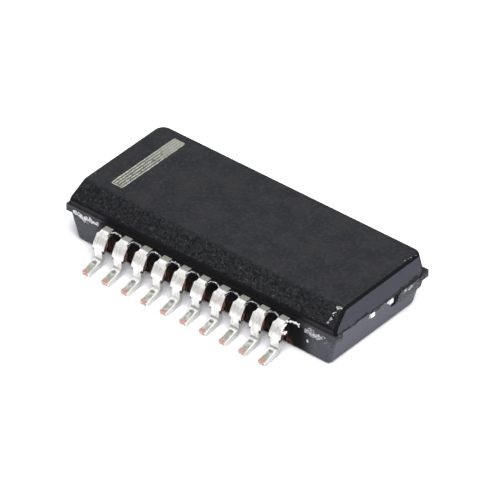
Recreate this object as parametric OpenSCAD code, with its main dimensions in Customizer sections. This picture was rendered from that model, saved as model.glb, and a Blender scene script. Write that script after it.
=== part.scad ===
// Small-outline integrated circuit: a black moulded body with gull-wing leads down both long sides.
// The leadframe, the die and the bond wires inside the moulding are solids of their own.
// X runs along the body, Y across it, Z up. Z = 0 is the board that the toes stand on.

/* [Moulded body] */
// Length of the body at the parting line
body_length = 17.4; // [17:0.1:20]
// Width of the body over the flange that runs along the parting line
body_width = 7.3; // [7.2:0.1:8]
// Height of the upper half, from the parting line to the top face
upper_height = 1.08; // [1:0.01:1.5]
// Depth of the lower half, from the parting line to the underside
lower_height = 2.03; // [1.9:0.01:2.3]
// Gap between the underside and the board
standoff = 0.05; // [0.02:0.01:0.2]
// Draft of the ends of the upper half, in degrees
upper_end_draft = 12.5; // [4:0.5:14]
// Draft of the ends of the lower half, in degrees
lower_end_draft = 14.5; // [5:0.5:18]
// Draft of the long sides, in degrees
side_draft = 4; // [2:1:8]
// Radius of the upright corners beside the index bevel
near_corner_radius = 0.2; // [0.1:0.05:0.4]
// Radius of the upright corners of the other long side
far_corner_radius = 0.5; // [0.3:0.05:0.8]
// Radius of the edges round the top face and the underside
edge_radius = 0.12; // [0.04:0.01:0.2]

/* [Index bevel] */
// Slope of the bevel over the first row of leads, in degrees below level
bevel_slope = 38; // [30:1:50]
// Height of the steep strip that is left under the bevel
bevel_land = 0.2; // [0.1:0.01:0.3]
// Radius of the edge between the bevel and the strip
bevel_roll = 0.25; // [0.1:0.01:0.3]

/* [Parting line] */
// How far the flange stands out from each long side
flange_lip = 0.08; // [0.05:0.01:0.2]
// Resin over the leads at the parting line
flange_cover = 0.16; // [0.1:0.01:0.3]
// How far the webs of resin between the leads reach out along them
web_reach = 0.33; // [0.2:0.01:0.35]
// Depth of the hollow that the trimming punch leaves in each web
web_hollow = 0.18; // [0.1:0.01:0.2]
// Width of the witness groove across each end, just under the parting line
groove_width = 0.06; // [0.03:0.01:0.1]
// Depth of the witness groove
groove_depth = 0.05; // [0.02:0.01:0.1]

/* [Gate remnant] */
// Distances from the middle to the two ends of the broken-off gate, on the end at +X
gate_span = [1.35, 3.3]; // [1.1:0.05:3.4]
// Height of the gate
gate_height = 0.85; // [0.5:0.05:1]
// How far the break stands out of the end face
gate_stand = 0.06; // [0.03:0.01:0.1]
// Width of the notch beside the gate
notch_width = 0.35; // [0.2:0.01:0.4]
// Depth of the notch
notch_depth = 0.12; // [0.05:0.01:0.2]

/* [Leads] */
// How far the leadframe lies off the middle of the moulding along X
frame_shift = -0.1; // [-0.15:0.01:0.15]
// Leads in each row
leads_per_side = 10; // [8:1:10]
// Distance from one lead to the next
pitch = 1.27; // [1.1:0.01:1.27]
// Thickness of the leadframe
lead_thickness = 0.25; // [0.2:0.01:0.3]
// Width of the neck and the foot
foot_width = 0.5; // [0.35:0.01:0.5]
// Width where the leads were joined by the dam bar
shoulder_width = 0.74; // [0.6:0.01:0.78]
// Width where the lead leaves the body
root_width = 0.5; // [0.4:0.01:0.55]
// Straight run out of the body before the first bend
lead_run = 0.32; // [0.3:0.01:0.5]
// Inner radius of the shoulder bend
shoulder_radius = 0.1; // [0.08:0.01:0.2]
// Slope of the shoulder below level, in degrees
shoulder_slope = 57; // [45:1:70]
// Length of the sloping stretch
shoulder_length = 0.42; // [0.3:0.01:0.5]
// Inner radius of the bend into the upright neck
neck_radius = 0.35; // [0.2:0.01:0.4]
// Inner radius of the heel
heel_radius = 0.1; // [0.06:0.01:0.15]
// Slope of the foot below level, in degrees
foot_slope = 17; // [4:1:18]
// Length of the foot past the heel
foot_length = 0.98; // [0.7:0.01:1.1]

/* [Inside] */
// Size of the die pad along X and Y
pad_size = [6.4, 3.2]; // [5:0.1:7]
// How far the die pad lies below the leads
pad_downset = 0.3; // [0.1:0.01:0.4]
// Width of the tie bars that hold the pad while the body is moulded
tie_width = 0.3; // [0.2:0.01:0.4]
// Distance of the tie bars from the middle
tie_offset = 0.72; // [0.5:0.01:0.8]
// How far the cut ends of the tie bars stand out past the parting line
tie_stub = 0.02; // [0.01:0.01:0.06]
// Size of the silicon die
die_size = [3.2, 2.2, 0.3]; // [0.2:0.1:4]
// Thickness of the adhesive under the die
attach_thickness = 0.03; // [0.02:0.01:0.05]
// Distance from the middle to the tips of the inner leads
finger_reach = 2.15; // [2.05:0.01:2.4]
// Diameter of the bond wires
wire_diameter = 0.05; // [0.04:0.01:0.06]

/* [Hidden] */
$fn = 32;
lead_count = 2 * leads_per_side;
function two_digits(i) = i < 10 ? str("0", i) : str(i);
function lead_name(i) = str("lead_", two_digits(i));
function wire_name(i) = str("bond_wire_", two_digits(i));

// Heights above the board
underside = standoff;
parting = underside + lower_height;
top = parting + upper_height;
lead_top = parting - flange_cover;
lead_bottom = lead_top - lead_thickness;
pad_top = lead_top - pad_downset;
die_bottom = pad_top + attach_thickness;
die_top = die_bottom + die_size[2];

// Plan sizes, as distances from the middle
half_length = body_length / 2;
flange_y = body_width / 2;
wall_y = flange_y - flange_lip;
slice = 0.01;

// The end wall leans in below the parting line, and this is how far it is out at height z
function lower_end(z) = half_length - (parting - z) * tan(lower_end_draft);
function upper_end(z) = half_length - (z - parting) * tan(upper_end_draft);
function lower_side(z) = wall_y - (parting - z) * tan(side_draft);
function upper_side(z) = wall_y - (z - parting) * tan(side_draft);

// One thin layer of the moulding: a rectangle with rounded corners
module layer(z, end, near_side, far_side, near_radius, far_radius) {
    for (side = [-1, 1]) {
        translate([side * (end - near_radius), near_radius - near_side, z])
            cylinder(h = slice, r = near_radius);
        translate([side * (end - far_radius), far_side - far_radius, z])
            cylinder(h = slice, r = far_radius);
    }
}

// Outline of the bevelled side: how far it is out at angle a of the rolled edge, and how high
strip_draft = 2 * side_draft;
roll_y = wall_y - bevel_land * tan(strip_draft) - bevel_roll * cos(strip_draft);
roll_z = parting + bevel_land - bevel_roll * sin(strip_draft);
bevel_y = roll_y + bevel_roll * sin(bevel_slope);
bevel_z = roll_z + bevel_roll * cos(bevel_slope);
function bevel_side(z) = bevel_y - (z - bevel_z) / tan(bevel_slope);

// Both halves, with the index bevel over the row of leads at -Y
module halves() {
    hull() {
        for (turn = [0, 30, 60, 90]) {
            inset = edge_radius * (1 - cos(turn));
            low = underside + edge_radius * (1 - sin(turn));
            high = top - edge_radius * (1 - sin(turn)) - slice;
            layer(low, lower_end(low) - inset, lower_side(low) - inset, lower_side(low) - inset,
                near_corner_radius, far_corner_radius);
            layer(high, upper_end(high) - inset, bevel_side(high) - inset, upper_side(high) - inset,
                near_corner_radius, far_corner_radius);
        }
        layer(parting - slice, half_length, wall_y, wall_y, near_corner_radius, far_corner_radius);
        for (a = [strip_draft : (90 - bevel_slope - strip_draft) / 4 : 90 - bevel_slope]) {
            z = roll_z + bevel_roll * sin(a);
            layer(z, upper_end(z), roll_y + bevel_roll * cos(a), upper_side(z),
                near_corner_radius, far_corner_radius);
        }
    }
}

// Flange of resin along each row of leads, whose square corners stand out past the rounded ones
module flange() {
    end_x = half_length + tie_stub;
    for (side = [-flange_y, wall_y - far_corner_radius])
        translate([-end_x, side, lead_bottom])
            cube([2 * end_x, flange_lip + far_corner_radius, parting - lead_bottom]);
}

// Web of resin in the gap after lead position i, with the hollow left by the trimming punch.
// The gap outside the first and the last lead holds only the half of a web that joins that lead.
module web(i) {
    gap = pitch - root_width;
    hollow_radius = (gap * gap / 4 + web_hollow * web_hollow) / (2 * web_hollow);
    web_bottom = lead_bottom + lead_thickness / 3;
    outer_y = flange_y + web_reach;
    start = i == 0 ? 0 : -gap / 2;
    end = i == leads_per_side ? 0 : gap / 2;
    translate([lead_x(i) + pitch / 2, 0, web_bottom])
        difference() {
            translate([start, -outer_y, 0])
                cube([end - start, web_reach + flange_lip, lead_top - web_bottom]);
            translate([0, web_hollow - outer_y - hollow_radius, -1])
                cylinder(h = 2, r = hollow_radius, $fn = 64);
        }
}

// What stands within a distance of the drafted end face of the lower half at +X
module near_lower_end(distance) {
    rotate([90, 0, 0])
        translate([0, 0, -body_width])
        linear_extrude(2 * body_width)
        polygon([
            [0, underside],
            [lower_end(underside) + distance, underside],
            [lower_end(parting) + distance, parting],
            [0, parting]
        ]);
}

// Broken-off gate on the lower half of the end at +X, with one end rounded
gate_top = parting - groove_width - 0.05;
module gate_remnant() {
    gate_radius = gate_height / 3;
    intersection() {
        translate([half_length - 0.5, 0, gate_top - gate_height])
            rotate([90, 0, 90])
            linear_extrude(0.6)
            union() {
                translate([gate_span[0] + gate_radius, 0])
                    square([gate_span[1] - gate_span[0] - gate_radius, gate_height]);
                translate([gate_span[0], gate_radius])
                    square([2 * gate_radius, gate_height - 2 * gate_radius]);
                for (z = [gate_radius, gate_height - gate_radius])
                    translate([gate_span[0] + gate_radius, z])
                        circle(r = gate_radius);
            }
        near_lower_end(gate_stand);
    }
}

// Notch beside the gate, where the runner was broken away
module gate_notch() {
    difference() {
        translate([half_length - 0.8, gate_span[0] - notch_width, gate_top - gate_height])
            cube([1, notch_width, gate_height]);
        near_lower_end(-notch_depth);
    }
}

// Witness groove across the end at +X, between the rounded corners
module parting_groove() {
    groove_span = 2 * (wall_y - far_corner_radius);
    translate([half_length - groove_depth, -groove_span / 2, parting - groove_width])
        cube([1, groove_span, groove_width]);
}

// The webs belong to the rows of leads, so they shift with the leadframe
module moulding() {
    difference() {
        union() {
            halves();
            flange();
            gate_remnant();
        }
        gate_notch();
        for (turn = [0, 180])
            rotate([0, 0, turn])
                parting_groove();
    }
    translate([frame_shift, 0, 0])
        for (turn = [0, 180])
            rotate([0, 0, turn])
                for (i = [0 : leads_per_side])
                    web(i);
}

module package_body() {
    color([0.13, 0.13, 0.14])
        difference() {
            moulding();
            die_pad();
            die_attach();
            die();
            for (i = [1 : lead_count]) {
                lead(i);
                bond_wire(i);
            }
        }
}

// Middle of lead position i of a row, where 1 is the first lead
function lead_x(i) = (i - (leads_per_side + 1) / 2) * pitch;

// A point at distance r from centre c, square to a run that slopes down by angle a towards -Y
function square_to(c, r, a) = [c[0] - r * sin(a), c[1] + r * cos(a)];
function along(p, length, a) = [p[0] - length * cos(a), p[1] - length * sin(a)];
function bend(c, r, from, to, steps) =
    [for (s = [0 : steps]) square_to(c, r, from + (to - from) * s / steps)];

// Side view of the lead in Y and Z. Its upper face is worked out first, then its lower face.
shoulder_outer = shoulder_radius + lead_thickness;
neck_outer = neck_radius + lead_thickness;
heel_outer = heel_radius + lead_thickness;
shoulder_centre = [-flange_y - lead_run, lead_top - shoulder_outer];
slope_end = along(
    square_to(shoulder_centre, shoulder_outer, shoulder_slope), shoulder_length, shoulder_slope
);
neck_centre = square_to(slope_end, -neck_outer, shoulder_slope);
heel_z = (heel_outer) * cos(foot_slope) + foot_length * sin(foot_slope);
heel_centre = [neck_centre[0] - neck_outer - heel_radius, heel_z];
crease_end = square_to(heel_centre, -heel_radius, foot_slope);
toe = along(crease_end, foot_length, foot_slope);
sole_start = square_to(heel_centre, -heel_outer, foot_slope);
sole_end = along(sole_start, foot_length, foot_slope);

module lead_side_view() {
    inner_y = -flange_y + 0.4;
    polygon(concat(
        [[inner_y, lead_top]],
        bend(shoulder_centre, shoulder_outer, 0, shoulder_slope, 10),
        bend(neck_centre, neck_outer, shoulder_slope, 90, 8),
        bend(heel_centre, -heel_radius, 90, foot_slope, 8),
        [toe, sole_end],
        bend(heel_centre, -heel_outer, foot_slope, 90, 10),
        bend(neck_centre, neck_radius, 90, shoulder_slope, 8),
        bend(shoulder_centre, shoulder_radius, shoulder_slope, 0, 6),
        [[inner_y, lead_bottom]]
    ));
}

// Front view of the lead in X and Z: a wide shoulder over a narrow neck
module lead_front_view() {
    step_z = neck_centre[1] - 0.19;
    step_height = 0.14;
    polygon([
        [-foot_width / 2, -1],
        [foot_width / 2, -1],
        [foot_width / 2, step_z],
        [shoulder_width / 2, step_z + step_height],
        [shoulder_width / 2, top],
        [-shoulder_width / 2, top],
        [-shoulder_width / 2, step_z + step_height],
        [-foot_width / 2, step_z]
    ]);
}

// Plan of the lead in X and Y: the narrow root that widens to the shoulder as the first bend ends
module lead_plan() {
    taper_length = 0.1;
    wide_y = square_to(shoulder_centre, shoulder_outer, shoulder_slope)[0];
    narrow_y = wide_y + taper_length;
    polygon([
        [-root_width / 2, 0],
        [-root_width / 2, narrow_y],
        [-shoulder_width / 2, wide_y],
        [-shoulder_width / 2, 2 * toe[0]],
        [shoulder_width / 2, 2 * toe[0]],
        [shoulder_width / 2, wide_y],
        [root_width / 2, narrow_y],
        [root_width / 2, 0]
    ]);
}

// The part of the lead outside the body, bent to its gull wing
module gull_wing() {
    intersection() {
        rotate([90, 0, 90])
            translate([0, 0, -shoulder_width])
            linear_extrude(2 * shoulder_width)
            lead_side_view();
        rotate([90, 0, 0])
            linear_extrude(-2 * toe[0])
            lead_front_view();
        linear_extrude(top)
            lead_plan();
    }
}

// The flat finger inside the body, which fans in towards the die pad
tip_width = 0.34;
function tip_x(x) = x * 0.72;

module inner_finger(x) {
    bend_y = flange_y - 0.45;
    translate([0, 0, lead_bottom])
        linear_extrude(lead_thickness)
        polygon([
            [x - root_width / 2, -flange_y + 0.2],
            [x + root_width / 2, -flange_y + 0.2],
            [x + root_width / 2, -bend_y],
            [tip_x(x) + tip_width / 2, -finger_reach],
            [tip_x(x) - tip_width / 2, -finger_reach],
            [x - root_width / 2, -bend_y]
        ]);
}

// Leads are numbered round the body, and the second row is the first one turned about
function in_row(i) = i > leads_per_side ? i - leads_per_side : i;
function row_turn(i) = i > leads_per_side ? 180 : 0;

module lead(i) {
    x = lead_x(in_row(i));
    color([0.82, 0.82, 0.8])
        translate([frame_shift, 0, 0])
        rotate([0, 0, row_turn(i)]) {
            translate([x, 0, 0])
                gull_wing();
            inner_finger(x);
        }
}

// A tie bar that reaches end_x from the middle of the pad, drawn in X and Z.
// It is level with the leads at the end face, and ramps down to the pad.
module tie_bar(end_x) {
    ramp_end = pad_size[0] / 2 + 0.8;
    ramp_start = ramp_end - pad_downset;
    rotate([90, 0, 0])
        translate([0, 0, -tie_width / 2])
        linear_extrude(tie_width)
        polygon([
            [pad_size[0] / 2 - 0.1, pad_top - lead_thickness],
            [ramp_start, pad_top - lead_thickness],
            [ramp_end, lead_bottom],
            [end_x, lead_bottom],
            [end_x, lead_top],
            [ramp_end, lead_top],
            [ramp_start, pad_top],
            [pad_size[0] / 2 - 0.1, pad_top]
        ]);
}

module die_pad() {
    color([0.76, 0.5, 0.34])
        translate([frame_shift, 0, 0]) {
            translate([-pad_size[0] / 2, -pad_size[1] / 2, pad_top - lead_thickness])
                cube([pad_size[0], pad_size[1], lead_thickness]);
            for (turn = [0, 180])
                for (side = [-1, 1])
                    rotate([0, 0, turn])
                        translate([0, side * tie_offset, 0])
                        tie_bar(half_length + tie_stub - cos(turn) * frame_shift);
        }
}

module die_attach() {
    overhang = 0.05;
    color([0.7, 0.7, 0.68])
        translate([frame_shift - die_size[0] / 2 - overhang, -die_size[1] / 2 - overhang, pad_top])
        cube([die_size[0] + 2 * overhang, die_size[1] + 2 * overhang, attach_thickness]);
}

// Bonds at the two ends of each wire, and how high the wire arches between them
bond_height = 0.07;
bond_diameter = 0.12;
arch_height = 0.3;

module die() {
    color([0.36, 0.38, 0.44])
        translate([frame_shift - die_size[0] / 2, -die_size[1] / 2, die_bottom])
        cube([die_size[0], die_size[1], die_size[2]]);
}

// Gold wire that arches from a ball on the die to a stitch on the inner finger
module bond_wire(i) {
    x = lead_x(in_row(i));
    ball = [x * 0.27, -die_size[1] / 2 + 0.2, die_top];
    stitch = [tip_x(x), -finger_reach - 0.14, lead_top];
    sunk = [0, 0, bond_height / 2];
    span = stitch - ball;
    length = norm(span);
    arch_radius = (length * length / 4 + arch_height * arch_height) / (2 * arch_height);
    half_turn = asin(length / 2 / arch_radius);
    color([0.9, 0.72, 0.3])
        translate([frame_shift, 0, 0])
        rotate([0, 0, row_turn(i)]) {
            for (end = [ball, stitch])
                translate(end)
                    cylinder(h = bond_height, d = bond_diameter, $fn = 12);
            translate(ball + sunk)
                rotate([0, 0, atan2(span[1], span[0])])
                rotate([0, -asin(span[2] / length), 0])
                translate([length / 2, 0, arch_height - arch_radius])
                rotate([90, 0, 0])
                rotate([0, 0, 90 - half_turn])
                rotate_extrude(angle = 2 * half_turn)
                translate([arch_radius, 0])
                circle(d = wire_diameter, $fn = 8);
        }
}

package_body();
die_pad();
die_attach();
die();
for (i = [1 : lead_count]) {
    lead(i);
    bond_wire(i);
}
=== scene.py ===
import math
import random

import bmesh
import bpy
from mathutils import Matrix, Vector, noise


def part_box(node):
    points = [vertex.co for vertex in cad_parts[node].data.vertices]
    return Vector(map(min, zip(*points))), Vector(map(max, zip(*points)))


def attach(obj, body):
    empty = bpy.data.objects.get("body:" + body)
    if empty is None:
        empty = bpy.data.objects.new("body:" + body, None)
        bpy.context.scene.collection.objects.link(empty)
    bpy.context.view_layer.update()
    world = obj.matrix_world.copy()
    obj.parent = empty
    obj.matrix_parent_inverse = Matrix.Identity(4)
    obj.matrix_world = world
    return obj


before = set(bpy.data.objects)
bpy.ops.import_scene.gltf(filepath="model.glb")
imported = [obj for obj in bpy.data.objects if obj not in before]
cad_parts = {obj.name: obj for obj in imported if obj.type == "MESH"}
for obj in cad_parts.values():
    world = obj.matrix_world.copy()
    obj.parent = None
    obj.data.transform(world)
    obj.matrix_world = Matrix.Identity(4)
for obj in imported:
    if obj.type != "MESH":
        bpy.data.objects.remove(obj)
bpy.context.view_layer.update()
MM = 0.001

# ---------------------------------------------------------------- measures
# Sizes that no box of a CAD node shows; they are the CAD's own
PITCH = 1.27 * MM
LEAD_SHEET = 0.25 * MM
ROOT_WIDTH = 0.5 * MM
RESIN_OVER_LEADS = 0.16 * MM
WEB_REACH = 0.33 * MM
TIE_STUB = 0.02 * MM
BEVEL_SLOPE = math.radians(38)
END_DRAFT = math.radians(14.5)

# Places, worked out from the frame
_, body_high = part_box("package_body")
_, pad_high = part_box("die_pad")
first_low, first_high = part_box("lead_01")
_, last_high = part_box("lead_10")
PER_SIDE = sum(name.startswith("lead_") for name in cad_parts) // 2
FRAME_SHIFT = (first_low.x + last_high.x) / 2
LEAD_TOP = first_high.z
LEAD_BOTTOM = LEAD_TOP - LEAD_SHEET
TOP = body_high.z
PARTING = LEAD_TOP + RESIN_OVER_LEADS
WEB_Y = body_high.y
FLANGE_Y = WEB_Y - WEB_REACH
END_X = pad_high.x - TIE_STUB

# The measures that shaders and wear paths use, in millimetres
SHIFT_MM = FRAME_SHIFT / MM
PITCH_MM = PITCH / MM
TOP_MM = TOP / MM
SEAM_MM = PARTING / MM
FLANGE_MM = FLANGE_Y / MM
WEB_MM = WEB_Y / MM
END_MM = END_X / MM
LEAD_BOTTOM_MM = LEAD_BOTTOM / MM
LIP_MM = 0.08  # how far the flange stands out over the wall under it
SKIN_MM = 0.005  # how far flakes stand off the flange

# Ways that surfaces face
NEAR = Vector((0, -1, 0))
UP = Vector((0, 0, 1))
ALONG = Vector((1, 0, 0))
OFF_BEVEL = Vector((0, -math.sin(BEVEL_SLOPE), math.cos(BEVEL_SLOPE)))
OFF_LOWER_END = Vector((math.cos(END_DRAFT), 0, -math.sin(END_DRAFT)))


def lead_x(i):
    """Middle of lead position i of a row, where 1 is the first lead."""
    return FRAME_SHIFT + (i - (PER_SIDE + 1) / 2) * PITCH


def direction(azimuth, elevation):
    """Unit vector from the middle towards an azimuth and elevation in degrees."""
    a, e = math.radians(azimuth), math.radians(elevation)
    return Vector((math.sin(a) * math.cos(e), -math.cos(a) * math.cos(e), math.sin(e)))


# ---------------------------------------------------------------- tones
# Moulding compound
RESIN_DARK = (0.0120, 0.0125, 0.0150)
RESIN_LIGHT = (0.0180, 0.0180, 0.0185)
RESIN_FILLER = (0.031, 0.031, 0.034)
RESIN_SPECK = (0.13, 0.13, 0.135)
# Painted shade on the bevel
BEVEL_SHADE = (0.0072, 0.0076, 0.0088)
BEVEL_LUMPS = (0.034, 0.035, 0.037)
BEVEL_PITS = (0.001, 0.001, 0.0015)
# Painted light on the lower walls and the ends, standing for the bright floor that they reflect
LOWER_WALL_LIGHT = (0.072, 0.072, 0.090)
UPPER_END_LIGHT = (0.040, 0.040, 0.056)
LOWER_END_LIGHT = (0.062, 0.062, 0.083)
# Painted shade along the seam and on the wall under the leads
SEAM_SHADE = (0.002, 0.002, 0.004)
SHADE_BLACK = (0.002, 0.002, 0.003)
# Painted shade round the roots of the leads
BY_LEADS_SHADE = (0.0015, 0.0015, 0.002)
COPPER_DUST = (0.14, 0.060, 0.036)
GATE_RESIN = (0.005, 0.005, 0.006)
# Painted glints on the gate
GATE_GLINT = (0.30, 0.29, 0.30)

# Leads
TIN_BRIGHT = (0.89, 0.88, 0.85)
TIN_DULL = (0.80, 0.79, 0.76)
TIN_STREAK = (0.44, 0.44, 0.39)
TIN_SPECK = (0.20, 0.20, 0.18)
# Sheared sides of the leads, darkened further by painted shade
SIDE_SHEARED_AND_SHADE = (0.42, 0.43, 0.40)
# Painted shade on the slope between the bends and on the roots by the body
SLOPE_SHADE = (0.44, 0.43, 0.38)
ROOT_SHADE = (0.30, 0.31, 0.26)
ROOT_SPECK = (0.05, 0.05, 0.04)
# Painted shade in the heel crease and its dimple
HEEL_CREASE_SHADE = (0.16, 0.16, 0.14)
HEEL_DIMPLE_SHADE = (0.05, 0.05, 0.042)
FOOT_GREY_GREEN = (0.27, 0.29, 0.235)
TOE_COPPER = (0.52, 0.255, 0.19)
# Bare copper of the cut stubs, with painted shade on it and under the step
CUT_SHADE = (0.018, 0.008, 0.006)
CUT_COPPER = (0.17, 0.075, 0.045)
STUB_SHADE = (0.03, 0.028, 0.025)

# Index bar: the tones that its ground and lines share, then the darkest and lightest of each
BAR_WORN = (0.235, 0.24, 0.20)
BAR_GRIT = (0.07, 0.07, 0.062)
BAR_GROUND = ((0.050, 0.052, 0.044), (0.125, 0.125, 0.105))
BAR_MARKS = ((0.27, 0.28, 0.23), (0.43, 0.43, 0.37))

# Darkest and lightest tone of the pieces inside the moulding
FRAME_METAL = ((0.82, 0.81, 0.78), (0.96, 0.95, 0.92))
ADHESIVE = ((0.4, 0.4, 0.4), (0.6, 0.6, 0.58))
SILICON = ((0.20, 0.22, 0.28), (0.26, 0.28, 0.34))
GOLD = ((0.86, 0.62, 0.22), (0.92, 0.70, 0.30))

# Darkest and lightest tone of flakes: torn flakes, and flakes of painted shade, glint and highlight
DULL = ((0.07, 0.07, 0.075), (0.36, 0.36, 0.37))
PALE = ((0.16, 0.16, 0.17), (0.50, 0.50, 0.52))
SILVER = ((0.26, 0.26, 0.27), (0.74, 0.74, 0.75))
BRIGHT = ((0.50, 0.50, 0.51), (0.85, 0.85, 0.85))
PINK = ((0.62, 0.46, 0.50), (0.90, 0.86, 0.87))
METAL = ((0.55, 0.54, 0.50), (0.92, 0.91, 0.88))
# Painted shade: dark flakes along the seam and round the gate
SHADE_FLAKES = ((0.0015, 0.0015, 0.002), (0.006, 0.006, 0.007))
GREY = ((0.03, 0.03, 0.034), (0.10, 0.10, 0.11))
# Painted glints
GLINT = ((0.25, 0.25, 0.27), (0.80, 0.80, 0.84))
# Flash on the webs, painted pale as the highlight on its lit rim
WEB_FLASH_HIGHLIGHT = ((0.09, 0.09, 0.095), (0.48, 0.48, 0.48))
# Painted shade at the shoulders of the leads
SHOULDER_SHADE = ((0.010, 0.009, 0.008), (0.05, 0.04, 0.035))


# ---------------------------------------------------------------- node helpers
class Shader:
    """Builds a node material step by step."""

    def __init__(self, name):
        self.material = bpy.data.materials.new(name)
        self.material.use_nodes = True
        self.tree = self.material.node_tree
        self.bsdf = self.tree.nodes["Principled BSDF"]

    def node(self, kind, **inputs):
        """New node with its named inputs fed; an underscore in a name stands for a space."""
        node = self.tree.nodes.new(kind)
        for key, value in inputs.items():
            self.feed(node.inputs[key.replace("_", " ")], value)
        return node

    def feed(self, socket, value):
        """Links a socket to an output, or gives it a constant."""
        if isinstance(value, bpy.types.NodeSocket):
            self.tree.links.new(value, socket)
        else:
            socket.default_value = value

    def millimetres(self):
        """Position on the object in millimetres."""
        place = self.node("ShaderNodeTexCoord").outputs["Object"]
        scaled = self.tree.nodes.new("ShaderNodeVectorMath")
        scaled.operation = "SCALE"
        self.feed(scaled.inputs[0], place)
        scaled.inputs["Scale"].default_value = 1 / MM
        return scaled.outputs["Vector"]

    def split(self, vector):
        """The x, y and z of a vector."""
        return self.node("ShaderNodeSeparateXYZ", Vector=vector).outputs

    def facing(self):
        """The x, y and z of the surface's normal."""
        return self.split(self.node("ShaderNodeNewGeometry").outputs["Normal"])

    def stretch(self, vector, x, y, z):
        """A vector with each of its parts scaled."""
        node = self.tree.nodes.new("ShaderNodeVectorMath")
        node.operation = "MULTIPLY"
        self.feed(node.inputs[0], vector)
        node.inputs[1].default_value = (x, y, z)
        return node.outputs["Vector"]

    def noise(self, vector, scale, detail=4.0, roughness=0.55):
        """Soft noise around 0.5."""
        return self.node(
            "ShaderNodeTexNoise", Vector=vector, Scale=scale, Detail=detail, Roughness=roughness
        ).outputs[0]

    def math(self, operation, *values):
        """One step of arithmetic."""
        node = self.tree.nodes.new("ShaderNodeMath")
        node.operation = operation
        for socket, value in zip(node.inputs, values):
            self.feed(socket, value)
        return node.outputs[0]

    def chain(self, operation, values):
        """The same step of arithmetic over all values, from left to right."""
        result = values[0]
        for value in values[1:]:
            result = self.math(operation, result, value)
        return result

    def product(self, *values):
        """All values multiplied."""
        return self.chain("MULTIPLY", values)

    def total(self, *values):
        """All values added."""
        return self.chain("ADD", values)

    def largest(self, *values):
        """The largest of the values; masks joined into one."""
        return self.chain("MAXIMUM", values)

    def minus(self, first, second):
        """The first value less the second."""
        return self.math("SUBTRACT", first, second)

    def absolute(self, value):
        """A value without its sign."""
        return self.math("ABSOLUTE", value)

    def ramp(self, value, low, high, start=0.0, end=1.0):
        """Smooth step of value from low to high; it falls where low is the larger."""
        node = self.tree.nodes.new("ShaderNodeMapRange")
        node.interpolation_type = "SMOOTHSTEP"
        for socket, given in zip(node.inputs, (value, low, high, start, end)):
            self.feed(socket, given)
        return node.outputs[0]

    def band(self, value, start, full, fade, end):
        """1 while value is between full and fade, and 0 outside start and end."""
        return self.product(self.ramp(value, start, full), self.ramp(value, end, fade))

    def across_lead(self, x):
        """How far x is past the middle line of the lead position it belongs to."""
        turns = self.math("DIVIDE", self.minus(x, SHIFT_MM), PITCH_MM)
        return self.product(self.minus(self.math("FRACT", turns), 0.5), PITCH_MM)

    def colour(self, value):
        """A tone as a socket takes it."""
        return value if isinstance(value, bpy.types.NodeSocket) else (*value, 1.0)

    def mix(self, factor, first, second):
        """Colour between two tones."""
        node = self.tree.nodes.new("ShaderNodeMix")
        node.data_type = "RGBA"
        self.feed(node.inputs["Factor"], factor)
        self.feed(node.inputs["A"], self.colour(first))
        self.feed(node.inputs["B"], self.colour(second))
        return node.outputs["Result"]

    def paint(self, base, *layers):
        """Lays tones over a base in turn, each through its own mask."""
        for mask, tone in layers:
            base = self.mix(mask, base, tone)
        return base

    def blend(self, factor, first, second):
        """Number between two numbers."""
        node = self.tree.nodes.new("ShaderNodeMix")
        self.feed(node.inputs["Factor"], factor)
        self.feed(node.inputs["A"], first)
        self.feed(node.inputs["B"], second)
        return node.outputs["Result"]

    def bump(self, height, distance, strength):
        """Normal of a surface raised by height."""
        return self.node(
            "ShaderNodeBump", Height=height, Distance=distance, Strength=strength
        ).outputs["Normal"]

    def finish(self, **inputs):
        """Feeds the surface shader and hands over the material."""
        for key, value in inputs.items():
            if key == "Base_Color":
                value = self.colour(value)
            self.feed(self.bsdf.inputs[key.replace("_", " ")], value)
        return self.material


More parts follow.
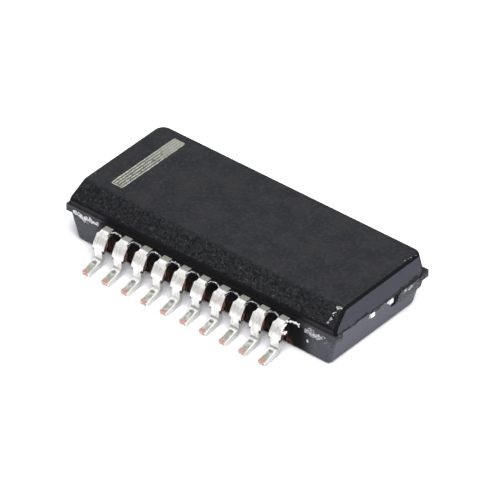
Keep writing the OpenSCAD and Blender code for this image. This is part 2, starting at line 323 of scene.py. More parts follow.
# ---------------------------------------------------------------- materials
def moulding_material():
    """Black epoxy moulding compound: fine filler grain, coarser on the bevel, with pale specks.
    Painted shade on the bevel, roll, corners, seam and round the leads; painted light on the lower
    walls and ends; painted glints on the gate.
    """
    s = Shader("moulding_compound")
    place = s.millimetres()
    x, y, z = s.split(place)
    face_x, face_y, face_z = s.facing()
    broad = s.noise(place, 0.9, 3.0)
    mottle = s.noise(place, 5.0, 4.0, 0.6)
    lumps = s.noise(place, 6.5, 4.0, 0.75)
    grain = s.noise(place, 10.0, 5.0, 0.7)
    specks = s.noise(place, 13.0, 2.0, 0.5)
    fine = s.noise(place, 30.0, 3.0, 0.6)

    # Faces: the bevel, the roll under it, the lower half, the ends and the corners between them
    bevel = s.product(s.ramp(face_y, -0.3, -0.5), s.ramp(face_z, 0.35, 0.65))
    roll = s.product(s.ramp(face_y, -0.68, -0.76), s.ramp(face_z, 0.1, 0.25))
    low = s.ramp(face_z, 0.05, -0.05)
    ends = s.ramp(s.absolute(face_x), 0.7, 0.9)
    corner = s.product(
        s.ramp(face_z, 0.05, 0.15), s.ramp(face_x, 0.06, 0.20), s.ramp(face_x, 0.955, 0.90))
    # Wall under the leads, where painted shade stays dark between the first lead and the last
    under = s.product(
        s.ramp(face_y, -0.5, -0.8), low,
        s.ramp(z, LEAD_BOTTOM_MM + 0.04, LEAD_BOTTOM_MM - 0.04), s.band(x, -7.0, -6.3, 6.2, 7.3))
    # Ragged band of painted shade where the halves of the mould meet, at the ends
    wander = s.product(s.minus(s.noise(place, 1.8, 4.0, 0.7), 0.5), 1.3)
    off_seam = s.absolute(s.total(s.minus(SEAM_MM - 0.04, z), wander))
    seam = s.product(ends, s.ramp(off_seam, 0.13, 0.07))
    # Copper dust on the wall beside each lead
    dust_lines = s.ramp(s.noise(s.stretch(place, 1.0, 1.0, 0.22), 9.0, 3.0, 0.6), 0.44, 0.60)
    dust = s.product(
        under, dust_lines, s.band(s.across_lead(x), -0.42, -0.34, 0.10, 0.34),
        s.ramp(s.absolute(s.minus(x, SHIFT_MM)), 6.05, 5.9))
    # Painted shade on the resin round the roots of the leads
    ragged_x = s.total(x, s.product(s.minus(mottle, 0.5), 1.2))
    by_leads = s.product(
        s.ramp(ragged_x, 7.2, 6.1), s.ramp(x, -6.5, -6.0),
        s.ramp(y, 0.25 - FLANGE_MM, 0.15 - FLANGE_MM), s.ramp(z, SEAM_MM + 0.30, SEAM_MM + 0.20))
    # Broken face of the gate at the end at +X, with painted glints
    gate = s.product(
        s.ramp(x, END_MM - 0.3, END_MM - 0.25), s.band(y, 1.2, 1.4, 3.3, 3.5),
        s.band(z, SEAM_MM - 1.13, SEAM_MM - 0.98, SEAM_MM - 0.11, SEAM_MM - 0.06))
    glint = s.product(gate, s.ramp(s.noise(place, 16.0, 3.0, 0.7), 0.58, 0.66))
    rare = s.ramp(specks, 0.72, 0.78)
    common = s.product(bevel, s.ramp(specks, 0.65, 0.78), s.ramp(broad, 0.4, 0.6))

    colour = s.paint(
        s.mix(s.ramp(broad, 0.35, 0.65), RESIN_DARK, RESIN_LIGHT),
        (s.ramp(mottle, 0.45, 0.70, 0.0, 0.55), RESIN_FILLER),
        # painted shade on the bevel
        (s.product(bevel, 0.92), BEVEL_SHADE),
        (s.product(bevel, s.ramp(lumps, 0.52, 0.72)), BEVEL_LUMPS),
        (s.product(bevel, s.ramp(lumps, 0.48, 0.36)), BEVEL_PITS),
        # painted light on the lower walls and the ends
        (s.product(low, s.ramp(mottle, 0.3, 0.7, 0.9, 0.6)), LOWER_WALL_LIGHT),
        (s.product(ends, 0.75), s.mix(low, UPPER_END_LIGHT, LOWER_END_LIGHT)),
        (seam, SEAM_SHADE),
        # painted shade on the roll, the wall under the leads and the corners
        (s.largest(s.product(roll, 0.9), under, corner), SHADE_BLACK),
        (dust, COPPER_DUST),
        # painted shade round the roots of the leads
        (s.product(by_leads, 0.9), BY_LEADS_SHADE),
        (s.largest(s.product(rare, 0.4), common), RESIN_SPECK),
        (s.product(gate, s.ramp(grain, 0.36, 0.5)), GATE_RESIN),
        (glint, GATE_GLINT))

    rough = s.blend(s.ramp(grain, 0.3, 0.7), 0.40, 0.56)
    rough = s.blend(bevel, rough, s.ramp(lumps, 0.4, 0.6, 0.36, 0.60))
    rough = s.blend(s.largest(under, roll, corner, by_leads), rough, 0.95)
    coarse = s.blend(s.largest(bevel, gate), 0.5, 1.8)
    height = s.total(s.product(grain, coarse), s.product(fine, 0.6))
    normal = s.bump(height, 0.012 * MM, 0.9)
    return s.finish(Base_Color=colour, Roughness=rough, IOR=1.28, Normal=normal)


def lead_material():
    """Tin plating, bright on the faces, with copper bare on the cut stubs and thin at the toes;
    painted shade on the sides, roots, slope, heel and stubs.
    """
    neck_top, stub_low, heel_top = 1.40, 1.04, 0.60
    dimple_y, toe_y = 4.86, 5.60
    s = Shader("tin_plating")
    place = s.millimetres()
    x, y, z = s.split(place)
    face_x, _, face_z = s.facing()
    out = s.absolute(y)
    across = s.across_lead(x)
    patches = s.noise(place, 4.5, 3.0)
    streaks = s.noise(s.stretch(place, 1.0, 0.12, 0.12), 17.0, 3.0, 0.6)
    grain = s.noise(place, 24.0, 3.0, 0.6)

    # Sides of the leads: sheared faces, darkened further by painted shade
    side = s.ramp(s.absolute(face_x), 0.55, 0.8)
    # Top of each root by the body, in painted shade
    root = s.product(s.ramp(out, WEB_MM + 0.06, WEB_MM), s.ramp(face_z, 0.6, 0.85))
    # Slope between the two bends, greyed with painted shade
    slope = s.band(
        z, neck_top - 0.04, neck_top + 0.04, LEAD_BOTTOM_MM - 0.05, LEAD_BOTTOM_MM + 0.05)
    # Foot: painted shade in a crease and an oval dimple by the heel, then a grey-green zone between
    # bright rims
    foot = s.product(s.ramp(face_z, 0.7, 0.9), s.ramp(z, heel_top + 0.02, heel_top - 0.04))
    crease = s.product(
        s.band(z, heel_top - 0.10, heel_top - 0.06, heel_top - 0.02, heel_top + 0.03),
        s.ramp(grain, 0.3, 0.5, 0.5, 1.0), s.ramp(s.noise(place, 0.5, 2.0), 0.4, 0.55, 0.35, 1.0),
        s.ramp(side, 1.0, 0.5, 0.0, 0.75))
    rims = s.ramp(s.absolute(across), 0.15, 0.20)
    zone = s.product(
        foot, s.minus(1.0, rims), s.ramp(out, dimple_y - 0.04, dimple_y + 0.14),
        s.ramp(patches, 0.3, 0.6, 0.5, 0.95))
    oval_y = s.math("DIVIDE", s.minus(out, dimple_y), 0.10)
    oval_x = s.math("DIVIDE", s.total(across, 0.01), 0.16)
    oval = s.total(s.product(oval_x, oval_x), s.product(oval_y, oval_y), s.product(grain, 1.2))
    dimple = s.product(foot, s.ramp(oval, 1.9, 1.0), s.ramp(grain, 0.35, 0.6, 1.0, 0.6))
    # Toe: copper where the plating ran thin
    toe = s.product(
        s.ramp(s.total(out, s.product(patches, 0.3)), toe_y - 0.08, toe_y + 0.08),
        s.ramp(s.absolute(s.total(across, 0.04)), 0.22, 0.14), s.ramp(patches, 0.3, 0.5, 0.6, 0.9))
    # The stub that the dam bar was cut from, bare copper with painted shade, and painted shade
    # under the step at the lower edge of the cut
    stub = s.product(
        side, s.ramp(z, stub_low - 0.06, stub_low), s.ramp(out, WEB_MM + 0.12, WEB_MM + 0.18))
    cut = s.ramp(s.noise(s.stretch(place, 1.0, 1.0, 0.35), 9.0, 2.0), 0.45, 0.6)
    step_shade = s.product(
        s.ramp(s.absolute(across), 0.25, 0.28),
        s.band(z, stub_low - 0.22, stub_low - 0.16, stub_low, stub_low + 0.04))

    colour = s.paint(
        s.mix(s.ramp(patches, 0.35, 0.65), TIN_BRIGHT, TIN_DULL),
        (s.ramp(streaks, 0.5, 0.66, 0.0, 0.55), TIN_STREAK),
        (s.product(s.ramp(grain, 0.60, 0.70), 0.5), TIN_SPECK),
        (s.product(side, 0.8), SIDE_SHEARED_AND_SHADE),
        (s.product(root, 0.85), ROOT_SHADE),
        (s.product(root, s.ramp(grain, 0.52, 0.64)), ROOT_SPECK),
        (s.product(slope, s.blend(s.ramp(streaks, 0.4, 0.6), 0.25, 0.6)), SLOPE_SHADE),
        (crease, HEEL_CREASE_SHADE),
        (zone, FOOT_GREY_GREEN),
        (dimple, HEEL_DIMPLE_SHADE),
        (toe, TOE_COPPER),
        (stub, s.mix(cut, CUT_SHADE, CUT_COPPER)),
        (step_shade, STUB_SHADE))

    rough = s.blend(s.ramp(streaks, 0.3, 0.7), 0.28, 0.44)
    rough = s.blend(stub, rough, 0.7)
    metal = s.blend(s.largest(stub, step_shade), 0.45, 0.0)
    normal = s.bump(s.total(streaks, grain), 0.010 * MM, 0.8)
    return s.finish(Base_Color=colour, Metallic=metal, Roughness=rough, Normal=normal)


def metal_material(name, low, high, roughness, scale):
    """Plain metal with a fine drawn grain and uneven tarnish."""
    s = Shader(name)
    place = s.millimetres()
    tarnish = s.noise(place, scale, 3.0)
    grain = s.noise(place, scale * 9, 3.0, 0.6)
    colour = s.mix(s.ramp(tarnish, 0.35, 0.65), low, high)
    rough = s.blend(s.ramp(grain, 0.3, 0.7), roughness * 0.8, roughness * 1.2)
    normal = s.bump(grain, 0.004 * MM, 0.6)
    return s.finish(Base_Color=colour, Metallic=1.0, Roughness=rough, Normal=normal)


def plain_material(name, low, high, roughness, scale):
    """Dull material with mottled colour and a rough surface."""
    s = Shader(name)
    place = s.millimetres()
    mottle = s.noise(place, scale, 4.0)
    grain = s.noise(place, scale * 6, 3.0, 0.6)
    colour = s.mix(s.ramp(mottle, 0.35, 0.65), low, high)
    rough = s.blend(s.ramp(grain, 0.3, 0.7), roughness * 0.85, min(1.0, roughness * 1.15))
    return s.finish(Base_Color=colour, Roughness=rough, Normal=s.bump(grain, 0.01 * MM, 0.8))


# ---------------------------------------------------------------- mesh helpers
def piece(name, mesh, material):
    """Puts a finished bmesh in the scene as a piece that rides on the part."""
    data = bpy.data.meshes.new(name)
    mesh.to_mesh(data)
    mesh.free()
    data.materials.append(material)
    thing = bpy.data.objects.new(name, data)
    bpy.context.scene.collection.objects.link(thing)
    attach(thing, "root")


def tube(mesh, points, radii, flatness):
    """Adds a closed tube with six sides along the points, flattened upwards."""
    sides = 6
    rings = []
    for k, point in enumerate(points):
        ahead = points[min(k + 1, len(points) - 1)] - points[max(k - 1, 0)]
        level = Vector((-ahead.y, ahead.x, 0)).normalized()
        upright = ahead.cross(level).normalized()
        ring = []
        for turn in range(sides):
            angle = turn * math.tau / sides
            aside = level * radii[k] * math.cos(angle)
            above = upright * radii[k] * flatness * math.sin(angle)
            ring.append(mesh.verts.new(point + aside + above))
        rings.append(ring)
    for first, second in zip(rings, rings[1:]):
        for turn in range(sides):
            after = (turn + 1) % sides
            mesh.faces.new((first[turn], first[after], second[after], second[turn]))
    mesh.faces.new(list(reversed(rings[0])))
    mesh.faces.new(rings[-1])


def chip(mesh, place, size, rng, normal, flatness):
    """Adds a ragged flake that lies on a surface with the given normal."""
    made = bmesh.ops.create_icosphere(mesh, subdivisions=2, radius=1.0)["verts"]
    spin = Matrix.Rotation(rng.uniform(0, math.tau), 3, "Z")
    turn = normal.to_track_quat("Z", "Y").to_matrix()
    stretch = Vector((rng.uniform(0.6, 1.4), rng.uniform(0.5, 1.0), flatness)) * size
    start = Vector((rng.uniform(0, 50), rng.uniform(0, 50), rng.uniform(0, 50)))
    for vert in made:
        ragged = 1 + 0.75 * noise.noise(vert.co * 1.6 + start)
        vert.co = place + turn @ (spin @ (vert.co * stretch * ragged))


# ---------------------------------------------------------------- index bar on the top face
BAR_LOW = Vector((1.53 - END_MM, -2.00)) * MM
BAR_HIGH = Vector((2.28 - END_MM, 2.91)) * MM
BAR_WIDTH = BAR_HIGH.x - BAR_LOW.x
BAR_LENGTH = BAR_HIGH.y - BAR_LOW.y
BAR_CORNER = 0.12 * MM
BAR_TOP = TOP + 0.003 * MM
BAR_RIM = TOP + 0.0005 * MM
BAR_LINES = 4


def bar_inset(y):
    """How far the rounded ends of the bar draw in at y."""
    near_end = min(y - BAR_LOW.y, BAR_HIGH.y - y)
    if near_end >= BAR_CORNER:
        return 0.0
    return BAR_CORNER - math.sqrt(max(0.0, BAR_CORNER ** 2 - (BAR_CORNER - near_end) ** 2))


def bar_material(name, low, high):
    """Burnt resin that is blurred to one worn tone towards +Y."""
    s = Shader(name)
    place = s.millimetres()
    y = s.split(place)[1]
    mottle = s.noise(place, 7.0, 4.0)
    grain = s.noise(place, 26.0, 3.0, 0.6)
    blur = s.ramp(s.total(y, s.product(mottle, 1.5)), 1.2, 3.2)
    colour = s.paint(
        s.mix(s.ramp(mottle, 0.35, 0.65), low, high),
        (s.product(blur, 0.75), BAR_WORN),
        (s.ramp(grain, 0.54, 0.68, 0.0, 0.6), BAR_GRIT))
    return s.finish(Base_Color=colour, Roughness=0.8, Normal=s.bump(grain, 0.006 * MM, 0.8))


def add_bar_ground(rng):
    """Dull ground of the index bar, with a slightly ragged rim."""
    mesh = bmesh.new()
    steps_x, steps_y = 8, 120
    grid = {}
    for j in range(steps_y + 1):
        y = BAR_LOW.y + BAR_LENGTH * j / steps_y
        inset = bar_inset(y)
        for i in range(steps_x + 1):
            x = BAR_LOW.x + inset + (BAR_WIDTH - 2 * inset) * i / steps_x
            z = BAR_TOP
            if i in (0, steps_x) or j in (0, steps_y):
                x += rng.uniform(-0.010, 0.010) * MM
                z = BAR_RIM
            grid[i, j] = mesh.verts.new((x, y, z))
    for i in range(steps_x):
        for j in range(steps_y):
            mesh.faces.new((grid[i, j], grid[i + 1, j], grid[i + 1, j + 1], grid[i, j + 1]))
    piece("index_bar_ground", mesh, bar_material("burnt_resin", *BAR_GROUND))


def add_bar_lines(rng):
    """Bright broken lines along the index bar, closed by a line across each end."""
    mesh = bmesh.new()
    steps, flatness, taper = 8, 0.22, 0.6
    last = BAR_HIGH.y - 0.06 * MM
    shortest = 0.05 * MM
    for k in range(BAR_LINES + 1):
        middle = BAR_LOW.x + BAR_WIDTH * (0.04 + 0.92 * k / BAR_LINES)
        outer = k in (0, BAR_LINES)
        radius = (0.032 if outer else 0.030) * MM
        y = BAR_LOW.y + (0.06 if outer else rng.uniform(0.02, 0.12)) * MM
        while y < last - shortest:
            end = min(y + rng.uniform(0.5, 1.3) * MM * (1.5 if outer else 1.0), last)
            points, radii = [], []
            for step in range(steps + 1):
                x = middle + rng.uniform(-0.010, 0.010) * MM
                points.append(Vector((x, y + (end - y) * step / steps, BAR_TOP)))
                thin = taper if step in (0, steps) else 1.0
                radii.append(radius * rng.uniform(0.7, 1.3) * thin)
            tube(mesh, points, radii, flatness)
            y = end + (0.01 if outer else rng.uniform(0.02, 0.08)) * MM
    for y in (BAR_LOW.y + 0.02 * MM, BAR_HIGH.y - 0.02 * MM):
        inset = bar_inset(y)
        points = []
        for step in range(steps + 1):
            x = BAR_LOW.x + inset + (BAR_WIDTH - 2 * inset) * step / steps
            points.append(Vector((x, y + rng.uniform(-0.008, 0.008) * MM, BAR_TOP)))
        tube(mesh, points, [0.026 * MM * rng.uniform(0.8, 1.2) for _ in points], flatness)
    piece("index_bar_lines", mesh, bar_material("marked_lines", *BAR_MARKS))


def add_index_bar():
    """Raster-marked bar near the end at -X: a dull ground with bright burnt lines along it."""
    rng = random.Random(5)
    add_bar_ground(rng)
    add_bar_lines(rng)


# ---------------------------------------------------------------- torn flash and chips
def add_web_rims():
    """Torn flash along the punched edge of each web, on both rows, painted pale as the highlight on
    its lit rim.
    """
    rng = random.Random(11)
    mesh = bmesh.new()
    gap = PITCH - ROOT_WIDTH
    steps, hollow = 22, 0.175
    tail, tail_reach, tail_drop = 0.18, 0.13, 0.08
    for turn in (1, -1):
        for i in range(1, PER_SIDE):
            middle = (i - PER_SIDE / 2) * PITCH
            rougher = i < 5
            points, radii = [], []
            for step in range(steps + 1):
                t = step / steps
                bow = 1 - (2 * t - 1) ** 2
                into_tail = max(0.0, 1 - t / tail)
                y = -(WEB_MM + 0.005) + hollow * bow ** 0.75 - tail_reach * into_tail
                z = LEAD_TOP / MM + 0.005 - tail_drop * into_tail
                points.append(Vector((
                    FRAME_SHIFT + turn * (middle + (t - 0.5) * gap),
                    turn * (y + rng.uniform(-0.022, 0.022)) * MM,
                    (z + rng.uniform(-0.014, 0.018)) * MM)))
                radii.append(rng.uniform(0.012, 0.040) * MM * (1.2 if rougher else 1.0))
                if rng.random() < (0.30 if rougher else 0.16):
                    chip(mesh, points[-1], rng.uniform(0.03, 0.06) * MM, rng, NEAR, 0.7)
            tube(mesh, points, radii, 0.8)
    piece("web_rims", mesh, plain_material(
        "flash_rim_highlight", *WEB_FLASH_HIGHLIGHT, roughness=0.55, scale=5.0))


def add_shoulder_shade():
    """Dark flakes of painted shade at the lower corner of each shoulder, where the dam bar tore
    off.
    """
    rng = random.Random(71)
    mesh = bmesh.new()
    aside, reach, height = 0.335 * MM, 4.585 * MM, 1.05 * MM
    for turn in (1, -1):
        for i in range(1, PER_SIDE + 1):
            x = FRAME_SHIFT + turn * (lead_x(i) - FRAME_SHIFT + aside)
            for _ in range(4):
                jitter = Vector([rng.uniform(-0.03, 0.03) * MM for _ in range(3)])
                place = Vector((x, -turn * reach, height)) + jitter
                chip(mesh, place, rng.uniform(0.05, 0.085) * MM, rng, ALONG, 0.6)
    piece("shoulder_shade_flakes", mesh, plain_material(
        "shoulder_shade_tone", *SHOULDER_SHADE, roughness=0.7, scale=6.0))


def inside(low, high):
    """Places flakes anywhere between two corners in millimetres."""
    return lambda rng: Vector([rng.uniform(a, b) for a, b in zip(low, high)])


def follow(*path):
    """Places flakes along a path of (x, y, z, spread) in millimetres."""
    def place(rng):
        t = rng.uniform(0, len(path) - 1.001)
        *here, spread = [a + (b - a) * (t % 1) for a, b in zip(path[int(t)], path[int(t) + 1])]
        return Vector(here) + Vector((rng.gauss(0, spread), 0, rng.gauss(0, spread)))
    return place


def follow_side(x, z, *steps):
    """Path on the near side: (dx, dy, dz, spread) steps, measured from x, the flange's face and z.
    A negative dy is in from the flange."""
    return follow(*((x + dx, -FLANGE_MM - dy, z + dz, spread) for dx, dy, dz, spread in steps))


def end_x(z, stand=0.0):
    """Where the drafted lower end at +X is at height z, moved out by stand, in millimetres."""
    return END_MM - (SEAM_MM - z) * math.tan(END_DRAFT) + stand


def follow_end(*steps):
    """Path on the lower end at +X: (y, drop under the parting line, spread, stand) steps."""
    return follow(*(
        (end_x(SEAM_MM - drop, stand), y, SEAM_MM - drop, spread)
        for y, drop, spread, stand in steps))


def scatter(name, count, placing, sizes, tones, seed, normal=NEAR, flatness=0.4, lie=True):
    """Scatters ragged flakes as one piece, with sizes in millimetres. Flakes that lie on the
    moulding are moved along the normal until they touch it, unless it is too far away."""
    rng = random.Random(seed)
    mesh = bmesh.new()
    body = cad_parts["package_body"]
    farthest = 0.4 * MM
    for _ in range(count):
        place = placing(rng) * MM
        if lie:
            hit, touch, _, _ = body.ray_cast(place + normal * MM, -normal)
            if hit and (touch - place).length < farthest:
                place = touch
        chip(mesh, place, rng.uniform(*sizes) * MM, rng, normal, flatness)
    piece(name, mesh, plain_material(name + "_resin", *tones, roughness=0.6, scale=9.0))


def add_left_wear():
    """Flash under the flange at the end at -X."""
    scatter("left_flash", 95, follow_side(
        -END_MM, SEAM_MM,
        (0.49, SKIN_MM, -0.28, 0.03), (0.75, SKIN_MM, -0.31, 0.05), (1.00, SKIN_MM, -0.37, 0.05),
        (1.13, SKIN_MM, -0.46, 0.07), (1.30, SKIN_MM, -0.34, 0.06), (1.58, SKIN_MM, -0.35, 0.06),
        (1.90, SKIN_MM, -0.33, 0.04), (2.22, SKIN_MM, -0.34, 0.02),
    ), (0.035, 0.10), SILVER, seed=3, flatness=0.5, lie=False)
    scatter("left_flash_low", 26, follow_side(
        -END_MM, SEAM_MM, (0.58, SKIN_MM, -0.44, 0.03), (0.84, SKIN_MM, -0.48, 0.04),
    ), (0.03, 0.06), SILVER, seed=33)
    scatter("left_flash_drips", 26, follow_side(
        -END_MM, SEAM_MM,
        (1.10, -LIP_MM, -0.58, 0.05), (1.25, -LIP_MM, -0.68, 0.05),
        (1.60, -LIP_MM, -0.50, 0.04),
    ), (0.025, 0.05), DULL, seed=14)


def add_right_wear():
    """Chips and scratches between the last lead and the end at +X."""
    scatter("right_chips", 60, follow_side(
        END_MM, SEAM_MM,
        (-1.90, SKIN_MM, -0.42, 0.03), (-1.64, SKIN_MM, -0.50, 0.05),
        (-1.28, SKIN_MM, -0.52, 0.06), (-0.92, SKIN_MM, -0.46, 0.05),
    ), (0.03, 0.085), PALE, seed=8, lie=False)
    scatter("right_chips_thick", 26, follow_side(
        END_MM, SEAM_MM,
        (-1.40, SKIN_MM, -0.50, 0.03), (-1.18, SKIN_MM, -0.50, 0.04), (-0.96, SKIN_MM, -0.44, 0.03),
    ), (0.05, 0.095), PALE, seed=21, lie=False)
    scatter("right_chips_upper", 22, follow_side(
        END_MM, SEAM_MM,
        (-1.68, SKIN_MM, -0.24, 0.03), (-1.52, SKIN_MM, -0.25, 0.03), (-1.36, SKIN_MM, -0.28, 0.03),
    ), (0.03, 0.07), DULL, seed=22, lie=False)
    wall = LIP_MM - FLANGE_MM
    scatter("right_speck", 5, inside(
        (END_MM - 1.92, wall, SEAM_MM - 1.26), (END_MM - 1.84, wall, SEAM_MM - 1.17),
    ), (0.04, 0.075), BRIGHT, seed=4)
    scatter("corner_scratches", 34, follow_side(
        END_MM, SEAM_MM,
        (-0.85, SKIN_MM, -0.30, 0.05), (-0.65, SKIN_MM - 0.05, -0.60, 0.12),
        (-0.70, -0.13, -0.95, 0.08),
    ), (0.02, 0.04), DULL, seed=31)


def add_last_lead_wear():
    """Curl of flash beside the last lead, and the burr that hooks round its shoulder."""
    middle = lead_x(PER_SIDE) / MM
    scatter("last_curl", 60, follow_side(
        middle, SEAM_MM,
        (0.305, 0.35, -0.14, 0.02), (0.505, 0.25, -0.10, 0.02),
        (0.725, 0.17, -0.15, 0.03), (0.845, 0.11, -0.22, 0.05),
    ), (0.022, 0.045), BRIGHT, seed=9, flatness=0.8, lie=False)
    scatter("last_burr", 50, follow_side(
        middle, SEAM_MM,
        (0.355, 0.51, -0.20, 0.015), (0.295, 0.69, -0.36, 0.02), (0.305, 0.79, -0.54, 0.02),
        (0.415, 0.75, -0.60, 0.02), (0.525, 0.65, -0.50, 0.01),
    ), (0.035, 0.065), PINK, seed=15, flatness=0.8, lie=False)


def add_upper_wear():
    """Scuffs on the corner of the bevel, and specks on the top face."""
    scatter("bevel_scuffs", 20, follow_side(
        END_MM, TOP_MM,
        (-0.50, -1.03, -0.075, 0.05), (-0.60, -0.89, -0.18, 0.05), (-0.66, -0.69, -0.34, 0.03),
        (-0.65, -0.51, -0.475, 0.03), (-0.70, -0.31, -0.63, 0.02), (-0.72, -0.25, -0.68, 0.02),
    ), (0.025, 0.055), DULL, seed=6, normal=OFF_BEVEL, flatness=0.15)
    scatter("bevel_scuff_patch", 16, follow_side(
        END_MM, TOP_MM, (-0.64, -0.99, -0.105, 0.04), (-0.40, -1.03, -0.075, 0.03),
    ), (0.04, 0.075), PALE, seed=16, normal=OFF_BEVEL, flatness=0.12)
    scatter("top_specks", 8, follow(
        (END_MM - 0.33, 3.10, TOP_MM, 0.01), (END_MM - 0.33, 3.02, TOP_MM, 0.01),
        (END_MM - 0.43, 2.36, TOP_MM, 0.01), (END_MM - 0.46, 2.30, TOP_MM, 0.01),
    ), (0.018, 0.035), DULL, seed=2, normal=UP, flatness=0.15)
    scatter("top_nick", 6, inside(
        (0.40 - END_MM, -1.96, TOP_MM - 0.02), (0.50 - END_MM, -1.84, TOP_MM),
    ), (0.02, 0.035), DULL, seed=12, normal=UP, flatness=0.2)


def add_end_wear():
    """Torn resin round the cut tie bars and on the gate, at the end at +X, with dark flakes of
    painted shade along the seam and round the gate, and bright flakes of painted glint.
    """
    scatter("tie_slivers", 16, follow_end(
        (-0.84, 0.25, 0.02, 0), (-0.80, 0.36, 0.02, 0), (-0.82, 0.48, 0.02, 0),
    ), (0.035, 0.065), METAL, seed=41, normal=OFF_LOWER_END, flatness=0.3)
    scatter("tie_slivers_far", 16, follow_end(
        (0.56, 0.34, 0.02, 0), (0.62, 0.26, 0.02, 0),
    ), (0.035, 0.07), METAL, seed=43, normal=OFF_LOWER_END, flatness=0.3)
    # dark flakes of painted shade along the seam, in the gate notch and round the gate
    scatter("seam_shade_flakes", 60, follow_end(
        (-0.62, 0.12, 0.03, 0), (-0.52, 0.24, 0.04, 0), (-0.36, 0.28, 0.04, 0),
        (-0.10, 0.18, 0.03, 0), (0.30, 0.11, 0.03, 0), (0.70, 0.10, 0.03, 0),
    ), (0.04, 0.085), SHADE_FLAKES, seed=47, normal=OFF_LOWER_END, flatness=0.3)
    scatter("gate_notch_shade_flakes", 50, follow_end(
        (0.90, 0.13, 0.03, 0), (0.96, 0.36, 0.04, 0), (1.02, 0.56, 0.05, 0), (1.22, 0.62, 0.03, 0),
    ), (0.05, 0.10), SHADE_FLAKES, seed=53, normal=OFF_LOWER_END, flatness=0.3)
    scatter("gate_rim_shade_flakes", 90, follow_end(
        (1.20, 0.12, 0.03, 0.05), (1.90, 0.06, 0.03, 0.04),
        (2.80, 0.06, 0.03, 0.04), (3.30, 0.10, 0.03, 0.05),
    ), (0.04, 0.09), SHADE_FLAKES, seed=59, normal=OFF_LOWER_END, flatness=0.3)
    crumbs_x = end_x(SEAM_MM - 0.63)
    scatter("gate_crumbs", 110, inside(
        (crumbs_x + 0.045, 1.45, SEAM_MM - 0.73), (crumbs_x + 0.055, 3.20, SEAM_MM - 0.22),
    ), (0.03, 0.06), GREY, seed=61, normal=OFF_LOWER_END, flatness=0.3)
    # bright flakes of painted glint on the gate
    scatter("gate_glints", 18, follow_end(
        (1.75, 0.28, 0.05, 0.055), (2.05, 0.38, 0.07, 0.055), (2.50, 0.30, 0.05, 0.055),
    ), (0.03, 0.06), GLINT, seed=67, normal=OFF_LOWER_END, flatness=0.3)


# ---------------------------------------------------------------- looks of the CAD's own solids
def dress_cad_nodes(materials):
    """Gives each CAD node the material of the kind that its name starts with."""
    for name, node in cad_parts.items():
        kind = next(key for key in materials if name.startswith(key))
        node.data.materials.clear()
        node.data.materials.append(materials[kind])


def soften_edges(node, width):
    """Joins the mesh along its edges and rounds them slightly, as punching and plating do."""
    weld = node.modifiers.new("weld", "WELD")
    weld.merge_threshold = 0.0005 * MM
    bevel = node.modifiers.new("bevel", "BEVEL")
    bevel.width = width
    bevel.segments = 2
    bevel.limit_method = "ANGLE"
    bevel.angle_limit = math.radians(35)
    bevel.harden_normals = True


# ---------------------------------------------------------------- surroundings
def add_camera():
    """The photo's angle: far back and long, looking down on the corner by the last lead."""
    azimuth, elevation = 39.79, 36.68
    distance, aside, above = 382.66 * MM, 0.179 * MM, 0.972 * MM
    back = direction(azimuth, elevation)
    right = Vector((math.cos(math.radians(azimuth)), math.sin(math.radians(azimuth)), 0))
    up = back.cross(right)
    data = bpy.data.cameras.new("camera")
    data.lens = 550.9
    data.clip_start, data.clip_end = 0.01, 10
    camera = bpy.data.objects.new("camera", data)
    bpy.context.scene.collection.objects.link(camera)
    stand = Matrix.Translation(back * distance + right * aside + up * above)
    camera.matrix_world = stand @ Matrix((right, up, back)).transposed().to_4x4()
    bpy.context.scene.camera = camera


def add_floor():
    """Pale sheet of paper that the part stands on."""
    mesh = bmesh.new()
    bmesh.ops.create_grid(mesh, x_segments=2, y_segments=2, size=0.6)
    data = bpy.data.meshes.new("floor")
    mesh.to_mesh(data)
    mesh.free()
    s = Shader("floor_paper")
    tone = s.noise(s.millimetres(), 0.02, 2.0)
    paper = s.mix(tone, (0.90, 0.90, 0.94), (0.92, 0.92, 0.95))
    data.materials.append(s.finish(Base_Color=paper, Roughness=0.9, Specular_IOR_Level=0.0))
    floor = bpy.data.objects.new("floor", data)
    bpy.context.scene.collection.objects.link(floor)


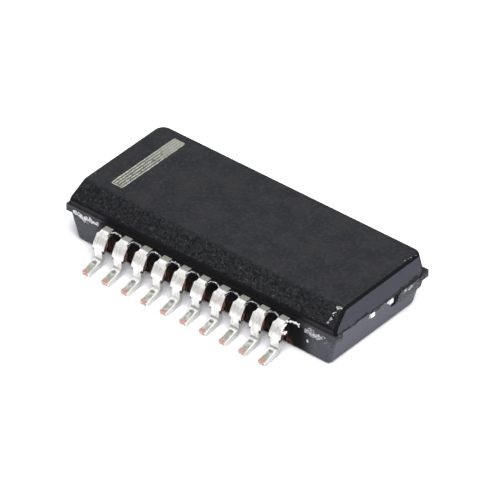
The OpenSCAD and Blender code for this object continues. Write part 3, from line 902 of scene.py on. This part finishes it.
def area_light(name, azimuth, elevation, power, colour):
    """Round soft light that faces the part."""
    distance, size = 0.6, 0.5
    back = direction(azimuth, elevation)
    data = bpy.data.lights.new(name, "AREA")
    data.shape = "DISK"
    data.size = size
    data.energy = power
    data.color = colour
    light = bpy.data.objects.new(name, data)
    bpy.context.scene.collection.objects.link(light)
    light.location = back * distance
    light.rotation_mode = "QUATERNION"
    light.rotation_quaternion = (-back).to_track_quat("-Z", "Y")


def add_world():
    """Studio that is dim on the side of the index bevel and brighter behind the far row."""
    dim, bright, reach = (0.09, 0.09, 0.10, 1), (0.43, 0.44, 0.48, 1), 0.8
    world = bpy.data.worlds.new("studio")
    world.use_nodes = True
    tree = world.node_tree
    place = tree.nodes.new("ShaderNodeTexCoord")
    parts = tree.nodes.new("ShaderNodeSeparateXYZ")
    tree.links.new(place.outputs["Generated"], parts.inputs[0])
    spread = tree.nodes.new("ShaderNodeMapRange")
    spread.inputs["From Min"].default_value = -reach
    spread.inputs["From Max"].default_value = reach
    tree.links.new(parts.outputs[1], spread.inputs[0])
    ramp = tree.nodes.new("ShaderNodeValToRGB")
    for element, position, tone in zip(ramp.color_ramp.elements, (0.0, 1.0), (dim, bright)):
        element.position = position
        element.color = tone
    tree.links.new(spread.outputs[0], ramp.inputs[0])
    background = tree.nodes["Background"]
    tree.links.new(ramp.outputs[0], background.inputs["Color"])
    background.inputs["Strength"].default_value = 1.0
    bpy.context.scene.world = world


# ---------------------------------------------------------------- scene
bpy.context.scene.view_settings.view_transform = "Standard"
add_camera()
add_world()
add_floor()
area_light("key", azimuth=48, elevation=56, power=4.6, colour=(1.0, 0.99, 0.98))
area_light("overhead", azimuth=120, elevation=80, power=2.2, colour=(0.97, 0.98, 1.0))

dress_cad_nodes({
    "package_body": moulding_material(),
    "lead_": lead_material(),
    "die_pad": metal_material("leadframe_copper", *FRAME_METAL, roughness=0.45, scale=6.0),
    "die_attach": plain_material("silver_adhesive", *ADHESIVE, roughness=0.6, scale=12.0),
    "die": metal_material("silicon", *SILICON, roughness=0.15, scale=3.0),
    "bond_wire": metal_material("gold_wire", *GOLD, roughness=0.2, scale=20.0),
})
for name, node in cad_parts.items():
    if name.startswith("lead_"):
        soften_edges(node, 0.025 * MM)

add_index_bar()
add_web_rims()
add_left_wear()
add_right_wear()
add_last_lead_wear()
add_upper_wear()
add_end_wear()
add_shoulder_shade()
